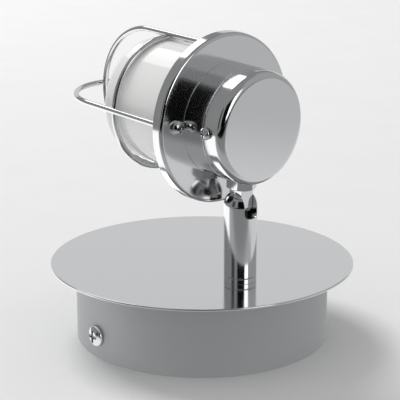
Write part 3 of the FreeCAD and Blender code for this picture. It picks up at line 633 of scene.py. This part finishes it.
class SPOTLIGHT_OT_stem(bpy.types.Operator):
    """Turn the collar and the slotted stem, and set the pivot pin in it"""

    bl_idname = "spotlight.stem"
    bl_label = "Stem"

    def execute(self, context):
        collar_top = PLATE_TOP + 2.0 * MM
        collar = turned("stem_collar", [
            (PLATE_TOP, 5.08 * MM),
            (PLATE_TOP, STEM_RADIUS, 0.15 * MM),
            (collar_top, STEM_RADIUS, 0.35 * MM),
            (collar_top, 5.08 * MM),
        ], "Z", 128)
        finish_piece(collar, STEM_FRAME, "base", "chrome", ["swivel_collar"])
        stem = self.stem(collar_top + 0.1 * MM)
        finish_piece(stem, STEM_FRAME, "stem", "chrome", ["knuckle_tube"])
        pin = rod("knuckle_pin", (0, -10 * MM, PIVOT.z), (0, 10 * MM, PIVOT.z), 1.5 * MM, 64)
        cut(pin, [self.envelope("envelope", 0)], "INTERSECT")
        finish_piece(pin, STEM_FRAME, "stem", "chrome", ["pivot_pin"])
        return {"FINISHED"}

    def envelope(self, name, foot):
        return turned(name, self.dome(foot) + [(foot, 0)], "Z", 128)

    def dome(self, foot):
        """Half an outline of a rod with a round top"""
        points = []
        steps = 24
        for step in range(steps + 1):
            angle = math.pi / 2 * (1 - step / steps)
            points.append((PIVOT.z + STEM_RADIUS * math.sin(angle), STEM_RADIUS * math.cos(angle)))
        points[0] = (points[0][0], 0)
        return points + [(foot, STEM_RADIUS, 0.35 * MM)]

    def stem(self, foot):
        slot_floor = PIVOT.z - 4.0 * MM
        nipple = 5.01 * MM
        bore = 4.0 * MM
        outline = self.dome(foot) + [
            (foot, nipple),
            (foot + 12.2 * MM, nipple),
            (foot + 12.2 * MM, bore),
            (slot_floor + 1.0 * MM, bore),
            (slot_floor + 1.0 * MM, 0),
        ]
        stem = turned("slotted_stem", outline, "Z", 192)
        half = 3.15 * MM
        slot = bar("slot", [
            (-8 * MM, slot_floor),
            (8 * MM, slot_floor),
            (8 * MM, slot_floor + 20 * MM),
            (-8 * MM, slot_floor + 20 * MM),
        ], half)
        only(slot)
        edit("EDGE")
        bpy.ops.mesh.select_all(action="DESELECT")
        bpy.ops.object.mode_set(mode="OBJECT")
        for edge in slot.data.edges:
            ends = [slot.data.vertices[index].co for index in edge.vertices]
            low = all(end.z < slot_floor + MERGE for end in ends)
            edge.select = low and abs(ends[0].y - ends[1].y) < MERGE
        bpy.ops.object.mode_set(mode="EDIT")
        bpy.ops.mesh.bevel(offset=2.0 * MM, segments=12, affect="EDGES")
        bpy.ops.object.mode_set(mode="OBJECT")
        hole = rod("hole", (0, -10 * MM, PIVOT.z), (0, 10 * MM, PIVOT.z), 1.51 * MM, 64)
        cut(stem, [slot, hole])
        return stem


class SPOTLIGHT_OT_tongue(bpy.types.Operator):
    """Make the square tongue in the slot and the hexagon nut above it"""

    bl_idname = "spotlight.tongue"
    bl_label = "Tongue and Nut"

    def execute(self, context):
        half_depth = 3.2 * MM
        half_width = 2.95 * MM
        top = 6.9 * MM
        outline = [(half_depth, top), (half_depth, -half_depth, half_depth * 0.999),
                   (-half_depth, -half_depth, half_depth * 0.999), (-half_depth, top)]
        tongue = bar("square_tongue", outline, half_width)
        bevel(tongue, 0.55 * MM, 3, 50)
        stud = rod("stud", (0, 0, top - 0.5 * MM), (0, 0, 15 * MM), 3.0 * MM, 64)
        cut(tongue, [stud], "UNION")
        bore = rod("bore", (0, 0, 4.4 * MM), (0, 0, 16 * MM), 2.0 * MM, 48)
        window = block("window", (-4 * MM, -1.65 * MM, 2.4 * MM), (0, 1.65 * MM, 6.4 * MM))
        hole = rod("hole", (0, -5 * MM, 0), (0, 5 * MM, 0), 1.56 * MM, 48)
        cut(tongue, [bore, window, hole])
        finish_piece(tongue, HEAD_FRAME, "head", "chrome", ["pivot_tongue"])
        finish_piece(self.nut(top), HEAD_FRAME, "head", "chrome", ["stem_nut"])
        return {"FINISHED"}

    def nut(self, foot):
        across = 10.0 * MM
        corner = across / math.sqrt(3)
        high = 4.0 * MM
        deselect_all()
        bpy.ops.mesh.primitive_cylinder_add(
            vertices=6, radius=corner, depth=high,
            location=(0, 0, foot + high / 2), rotation=(0, 0, math.pi / 6))
        bpy.ops.object.transform_apply(location=True, rotation=True, scale=True)
        nut = named("hexagon_nut")
        chamfer = turned("chamfer", [
            (foot + high, 0),
            (foot + high, corner),
            (foot + 0.45 * MM, corner),
            (foot, corner - 0.8 * MM),
            (foot, 0),
        ], "Z", 96)
        cut(nut, [chamfer], "INTERSECT")
        reach = 20 * MM
        seat = DRUM_RADIUS + 0.03 * MM
        shell = rod("shell", (-reach, 0, HEAD_RISE), (reach, 0, HEAD_RISE), seat, 240)
        hole = rod("hole", (0, 0, foot - MM), (0, 0, foot + 6 * MM), 3.02 * MM, 64)
        cut(nut, [shell, hole])
        bevel(nut, 0.12 * MM, 2, 40)
        return nut


class SPOTLIGHT_OT_drum(bpy.types.Operator):
    """Turn the drum of the head, the cap that closes its back and the dished flange before it"""

    bl_idname = "spotlight.drum"
    bl_label = "Drum, Cap and Flange"

    def execute(self, context):
        back = FLANGE_BACK
        seam = 0.8 * MM
        lip_start = -4.0 * MM
        lip_end = 6.0 * MM
        lip_bore = DRUM_BORE - 1.0 * MM
        body = turned("drum_shell", [
            (back, DRUM_BORE),
            (back, DRUM_RADIUS, 0.28 * MM),
            (seam, DRUM_RADIUS, 0.22 * MM),
            (seam, DRUM_BORE),
            (lip_end, DRUM_BORE, 0.3 * MM),
            (lip_end, lip_bore),
            (lip_start, lip_bore),
            (lip_start, DRUM_BORE),
        ])
        cut(body, [rod("hole", (0, 0, -HEAD_RISE), (0, 0, -10 * MM), 3.05 * MM, 64)])
        finish_piece(body, AXIS_FRAME, "head", "chrome", ["head_body"])
        fillet = context.scene.spotlight_sizes.cap_fillet
        end = 9.8 * MM
        wall = 1.0 * MM
        radius = 21.3 * MM
        bore = 20.35 * MM
        cap = turned("back_cap", [
            (end, 0),
            (end, radius, fillet),
            (seam + 0.05 * MM, radius, 0.22 * MM),
            (seam + 0.05 * MM, bore),
            (end - wall, bore, fillet - 0.8 * MM),
            (end - wall, 0),
        ])
        finish_piece(cap, AXIS_FRAME, "head", "chrome", ["rear_cap"])
        rim = 32.3 * MM
        front = back - 4.5 * MM
        dish = turned("dished_flange", [
            (back, DRUM_BORE),
            (back, rim, 1.3 * MM),
            (front, rim + 0.2 * MM, 0.3 * MM),
            (front, rim - 0.8 * MM, 0.3 * MM),
            (back - wall, rim - wall, 0.3 * MM),
            (back - wall, DRUM_BORE),
        ])
        finish_piece(dish, AXIS_FRAME, "head", "chrome", ["flange_dish"])
        return {"FINISHED"}


class SPOTLIGHT_OT_glass(bpy.types.Operator):
    """Blow the opal glass cylinder with its round front edge"""

    bl_idname = "spotlight.glass"
    bl_label = "Opal Glass"

    def execute(self, context):
        fillet = context.scene.spotlight_sizes.glass_fillet
        radius = 24.0 * MM
        wall = 2.0 * MM
        back = -13.5 * MM
        front = -54.5 * MM
        glass = turned("glass_cylinder", [
            (front, 0),
            (front, radius, fillet),
            (back, radius, 0.6 * MM),
            (back, radius - wall, 0.4 * MM),
            (front + wall, radius - wall, fillet - 1.5 * MM),
            (front + wall, 0),
        ])
        finish_piece(glass, AXIS_FRAME, "head", "opal_glass", ["opal_glass"])
        return {"FINISHED"}


class SPOTLIGHT_OT_cage(bpy.types.Operator):
    """Bend the two loops and the ring of the wire cage and put the welds on it"""

    bl_idname = "spotlight.cage"
    bl_label = "Wire Cage"

    leg_radius = 26.8 * MM
    ring_radius = 25.7 * MM
    ring_place = -44.0 * MM
    foot = -12.5 * MM
    bend_start = -55.2 * MM
    drop = 0.5 * MM
    gap = 0.02 * MM

    def execute(self, context):
        wire = context.scene.spotlight_sizes.wire_radius
        cage_frame = AXIS_FRAME @ Matrix.Translation((0, 0, -self.drop))
        upright = self.loop("upright_loop", self.bend_start, wire, 0)
        finish_piece(upright, cage_frame, "head", "chrome", ["cage_loop_vertical"])
        level = self.loop("level_loop", self.bend_start - 2 * wire - self.gap, wire, math.pi / 2)
        finish_piece(level, cage_frame, "head", "chrome", ["cage_loop_horizontal"])
        finish_piece(self.ring(wire), cage_frame, "head", "chrome", ["cage_ring"])
        return {"FINISHED"}

    def loop(self, name, bend_start, wire, turn):
        radius = self.leg_radius
        deselect_all()
        bpy.ops.mesh.primitive_circle_add(
            vertices=24, radius=wire, location=(self.foot, 0, radius), rotation=(0, math.pi / 2, 0))
        edit("EDGE")
        leg = Vector((bend_start - self.foot, 0, 0))
        bpy.ops.mesh.extrude_region_move(TRANSFORM_OT_translate={"value": leg})
        bpy.ops.mesh.spin(steps=72, angle=math.pi, center=(bend_start, 0, 0), axis=(0, 1, 0))
        bpy.ops.mesh.extrude_region_move(TRANSFORM_OT_translate={"value": -leg})
        bpy.ops.mesh.edge_face_add()
        bpy.ops.mesh.select_all(action="DESELECT")
        bpy.ops.mesh.select_non_manifold()
        bpy.ops.mesh.edge_face_add()
        leave_edit()
        piece = named(name)
        bpy.ops.object.transform_apply(location=True, rotation=True, scale=True)
        settle(piece, Matrix.Rotation(turn, 4, "X"))
        return piece

    def ring(self, wire):
        deselect_all()
        bpy.ops.mesh.primitive_torus_add(
            major_radius=self.ring_radius, minor_radius=wire, major_segments=192, minor_segments=24,
            location=(self.ring_place, 0, 0), rotation=(0, math.pi / 2, 0))
        bpy.ops.object.transform_apply(location=True, rotation=True, scale=True)
        ring = named("cage_hoop")
        welds = []
        size = bpy.context.scene.spotlight_sizes.weld_size
        reach = (self.ring_radius + self.leg_radius) / 2
        for quarter in range(4):
            turn = quarter * math.pi / 2
            place = (self.ring_place, reach * math.sin(turn), reach * math.cos(turn))
            deselect_all()
            bpy.ops.mesh.primitive_uv_sphere_add(
                segments=24, ring_count=12, radius=size, location=place)
            bpy.context.object.scale = (1.35, 1, 1)
            bpy.ops.object.transform_apply(location=True, rotation=True, scale=True)
            welds.append(named("weld"))
        cut(ring, welds, "UNION")
        return ring


# The stage

class World:
    """Helper that builds soft edged windows of light from directions"""

    def __init__(self, tree):
        self.tree = tree

    def math(self, operation, first, second=None):
        node = self.tree.nodes.new("ShaderNodeMath")
        node.operation = operation
        for index, value in enumerate((first, second)):
            if value is None:
                continue
            if isinstance(value, (int, float)):
                node.inputs[index].default_value = value
            else:
                self.tree.links.new(value, node.inputs[index])
        return node.outputs[0]

    def step(self, value, edge, softness):
        """0 below the edge and 1 above it"""
        node = self.tree.nodes.new("ShaderNodeMapRange")
        node.interpolation_type = "SMOOTHSTEP"
        node.inputs["From Min"].default_value = edge - softness / 2
        node.inputs["From Max"].default_value = edge + softness / 2
        self.tree.links.new(value, node.inputs["Value"])
        return node.outputs["Result"]

    def between(self, value, low, high, softness):
        rising = self.step(value, low, softness)
        falling = self.math("SUBTRACT", 1.0, self.step(value, high, softness))
        return self.math("MULTIPLY", rising, falling)

    def blend(self, factor, base, top):
        """base where the factor is 0, top where it is 1"""
        node = self.tree.nodes.new("ShaderNodeMix")
        node.data_type = "FLOAT"
        for index, value in enumerate((factor, base, top)):
            socket = [item for item in node.inputs if item.enabled][index]
            if isinstance(value, (int, float)):
                socket.default_value = value
            else:
                self.tree.links.new(value, socket)
        return [item for item in node.outputs if item.enabled][0]


# Camera: where the picture was taken from
CAMERA_PLACE = Vector((-301.78, -394.0, 190.16)) * MM
CAMERA_HEADING = math.radians(-37.361)
CAMERA_PITCH = math.radians(13.581)
CAMERA_LENS = 117.35
CAMERA_SHIFT = -0.1

# Windows of light round the object, seen from above: degrees to the right of the camera's own
# direction, degrees above the horizon, and brightness.
SURROUNDINGS = {
    "right wall": ((54, 140), (-90, 60), 0.38),
    "backdrop": ((140, 181), (-90, 24), 0.68),
    "backdrop left": ((-181, -140), (-90, 24), 0.68),
    "back softbox": ((-168, -128), (37, 60), 2.4),
    "dark corner": ((-62, -40), (-90, 34), 0.06),
    "dark room": ((-21, 30), (-90, 39), 0.0),
    "window strip": ((30, 54), (-90, 30), 2.0),
}
SURROUNDINGS_BASE = 0.26
SURROUNDINGS_SOFTNESS = 1.2
SKY_TO_THE_EYE = 0.80

# What mirrors see of the floor. A zone starts at each of its edges, given as the side it lies on,
# the distance from the part's origin and the softness, both in metres. Its brightness comes last.
FLOOR_ZONES = {
    "right": ([("right", -0.04, 0.16)], 0.70),
    "far right": ([("right", 0.28, 0.16)], 0.53),
    "front": ([("near", 0.06, 0.05), ("left", -0.17, 0.05)], 0.42),
    "near the camera": ([("near", 0.15, 0.06)], 0.24),
    "dark room": ([("near", 0.31, 0.04)], 0.0),
    "far left": ([("left", 0.40, 0.04)], 0.24),
}
FLOOR_BASE = 1.25
FLOOR_SIZE = 6.0

# The key light: its direction from the camera's, its distance on the floor, its height and size
KEY_TURN = math.radians(38)
KEY_DISTANCE = 1.9
KEY_HEIGHT = 2.4
KEY_SIZE = (1.5, 1.1)


class SPOTLIGHT_OT_stage(bpy.types.Operator):
    """Set the floor, the surroundings, the light and the camera"""

    bl_idname = "spotlight.stage"
    bl_label = "Stage"

    def execute(self, context):
        self.floor()
        self.surroundings()
        self.light()
        self.camera()
        context.scene.view_settings.view_transform = "Standard"
        return {"FINISHED"}

    def floor(self):
        deselect_all()
        bpy.ops.mesh.primitive_grid_add(x_subdivisions=8, y_subdivisions=8, size=FLOOR_SIZE)
        floor = named("pale_floor")
        floor.data.materials.append(self.floor_material())

    def floor_material(self):
        settings = bpy.context.scene.spotlight_studio
        surface = Surface("pale_paper")
        color = tuple(settings.floor_color)
        surface.tint(surface.noise(22, 5), shade(color, 0.97), shade(color, 1.02))
        surface.set(Roughness=0.9)
        surface.shader.inputs["Specular IOR Level"].default_value = 0.1
        surface.bump(surface.noise(90, 5), 0.25, 0.4 * MM)
        tree = surface.tree
        world = World(tree)
        mapping = surface.node("ShaderNodeMapping")
        mapping.inputs["Rotation"].default_value = (0, 0, -CAMERA_HEADING)
        surface.link(surface.coordinates.outputs["Object"], mapping.inputs["Vector"])
        split = surface.node("ShaderNodeSeparateXYZ")
        surface.link(mapping.outputs["Vector"], split.inputs["Vector"])
        right = split.outputs["X"]
        nearer = world.math("MULTIPLY", split.outputs["Y"], -1.0)
        left = world.math("MULTIPLY", right, -1.0)
        sides = {"right": right, "left": left, "near": nearer}
        bright = FLOOR_BASE
        for edges, brightness in FLOOR_ZONES.values():
            inside = 1.0
            for side, start, softness in edges:
                inside = world.math("MULTIPLY", world.step(sides[side], start, softness), inside)
            bright = world.blend(inside, bright, brightness)
        glow = surface.node("ShaderNodeEmission")
        surface.link(bright, glow.inputs["Strength"])
        path = surface.node("ShaderNodeLightPath")
        mix = surface.node("ShaderNodeMixShader")
        surface.link(path.outputs["Is Glossy Ray"], mix.inputs["Fac"])
        surface.link(surface.shader.outputs["BSDF"], mix.inputs[1])
        surface.link(glow.outputs["Emission"], mix.inputs[2])
        surface.link(mix.outputs["Shader"], tree.nodes["Material Output"].inputs["Surface"])
        return surface.material

    def surroundings(self):
        """Even sky for the eye and for soft light, a lit room for what mirrors it"""
        settings = bpy.context.scene.spotlight_studio
        made = bpy.data.worlds.new("studio")
        made.use_nodes = True
        bpy.context.scene.world = made
        tree = made.node_tree
        world = World(tree)
        coordinates = tree.nodes.new("ShaderNodeTexCoord")
        mapping = tree.nodes.new("ShaderNodeMapping")
        mapping.inputs["Rotation"].default_value = (0, 0, -CAMERA_HEADING)
        tree.links.new(coordinates.outputs["Generated"], mapping.inputs["Vector"])
        split = tree.nodes.new("ShaderNodeSeparateXYZ")
        tree.links.new(mapping.outputs["Vector"], split.inputs["Vector"])
        nearer = world.math("MULTIPLY", split.outputs["Y"], -1.0)
        azimuth = world.math("DEGREES", world.math("ARCTAN2", split.outputs["X"], nearer))
        height = world.math("DEGREES", world.math("ARCSINE", split.outputs["Z"]))
        value = SURROUNDINGS_BASE
        for (left, right), (low, high), strength in SURROUNDINGS.values():
            across = world.between(azimuth, left, right, SURROUNDINGS_SOFTNESS)
            upward = world.between(height, low, high, SURROUNDINGS_SOFTNESS)
            inside = world.math("MULTIPLY", across, upward)
            value = world.blend(inside, value, strength)
        path = tree.nodes.new("ShaderNodeLightPath")
        value = world.blend(path.outputs["Is Glossy Ray"], settings.sky_strength, value)
        value = world.blend(path.outputs["Is Camera Ray"], value, SKY_TO_THE_EYE)
        background = tree.nodes["Background"]
        tree.links.new(value, background.inputs["Strength"])
        background.inputs["Color"].default_value = (1, 1, 1, 1)

    def light(self):
        settings = bpy.context.scene.spotlight_studio
        heading = CAMERA_HEADING + KEY_TURN
        ahead = Vector((-math.sin(heading), math.cos(heading), 0))
        direction = ahead * KEY_DISTANCE + Vector((0, 0, KEY_HEIGHT))
        bpy.ops.object.light_add(type="AREA", location=direction)
        lamp = bpy.context.object
        lamp.name = "key_light"
        lamp.data.energy = settings.key_power
        lamp.data.shape = "RECTANGLE"
        lamp.data.size, lamp.data.size_y = KEY_SIZE
        lamp.rotation_euler = (-direction).to_track_quat("-Z", "Y").to_euler()
        lamp.visible_glossy = False

    def camera(self):
        bpy.ops.object.camera_add(location=CAMERA_PLACE)
        camera = bpy.context.object
        camera.name = "picture_camera"
        camera.rotation_euler = (math.pi / 2 - CAMERA_PITCH, 0, CAMERA_HEADING)
        camera.data.lens = CAMERA_LENS
        camera.data.shift_y = CAMERA_SHIFT
        camera.data.clip_start = 0.01
        bpy.context.scene.camera = camera


OPERATORS = [
    SPOTLIGHT_OT_frame_finishes,
    SPOTLIGHT_OT_base,
    SPOTLIGHT_OT_screws,
    SPOTLIGHT_OT_stem,
    SPOTLIGHT_OT_tongue,
    SPOTLIGHT_OT_drum,
    SPOTLIGHT_OT_glass,
    SPOTLIGHT_OT_cage,
    SPOTLIGHT_OT_stage,
]


class SPOTLIGHT_PT_panel(bpy.types.Panel):
    """Sizes, finishes and steps of the spotlight"""

    bl_idname = "SPOTLIGHT_PT_panel"
    bl_label = "Pivoting Spotlight"
    bl_space_type = "VIEW_3D"
    bl_region_type = "UI"
    bl_category = "Spotlight"

    def draw(self, context):
        layout = self.layout
        scene = context.scene
        for group in (scene.spotlight_sizes, scene.spotlight_finishes, scene.spotlight_studio):
            box = layout.box()
            for name in group.bl_rna.properties.keys():
                if name not in ("rna_type", "name"):
                    box.prop(group, name)
        for operator in OPERATORS:
            layout.operator(operator.bl_idname)


GROUPS = {
    "spotlight_sizes": SpotlightSizes,
    "spotlight_finishes": SpotlightFinishes,
    "spotlight_studio": SpotlightStudio,
}


def register():
    for name, group in GROUPS.items():
        bpy.utils.register_class(group)
        setattr(bpy.types.Scene, name, bpy.props.PointerProperty(type=group))
    for operator in OPERATORS:
        bpy.utils.register_class(operator)
    bpy.utils.register_class(SPOTLIGHT_PT_panel)


def unregister():
    bpy.utils.unregister_class(SPOTLIGHT_PT_panel)
    for operator in reversed(OPERATORS):
        bpy.utils.unregister_class(operator)
    for name, group in GROUPS.items():
        delattr(bpy.types.Scene, name)
        bpy.utils.unregister_class(group)


def main():
    register()
    bpy.ops.spotlight.frame_finishes()
    bpy.ops.spotlight.base()
    bpy.ops.spotlight.screws()
    bpy.ops.spotlight.stem()
    bpy.ops.spotlight.tongue()
    bpy.ops.spotlight.drum()
    bpy.ops.spotlight.glass()
    bpy.ops.spotlight.cage()
    bpy.ops.spotlight.stage()


if __name__ == "__main__":
    main()
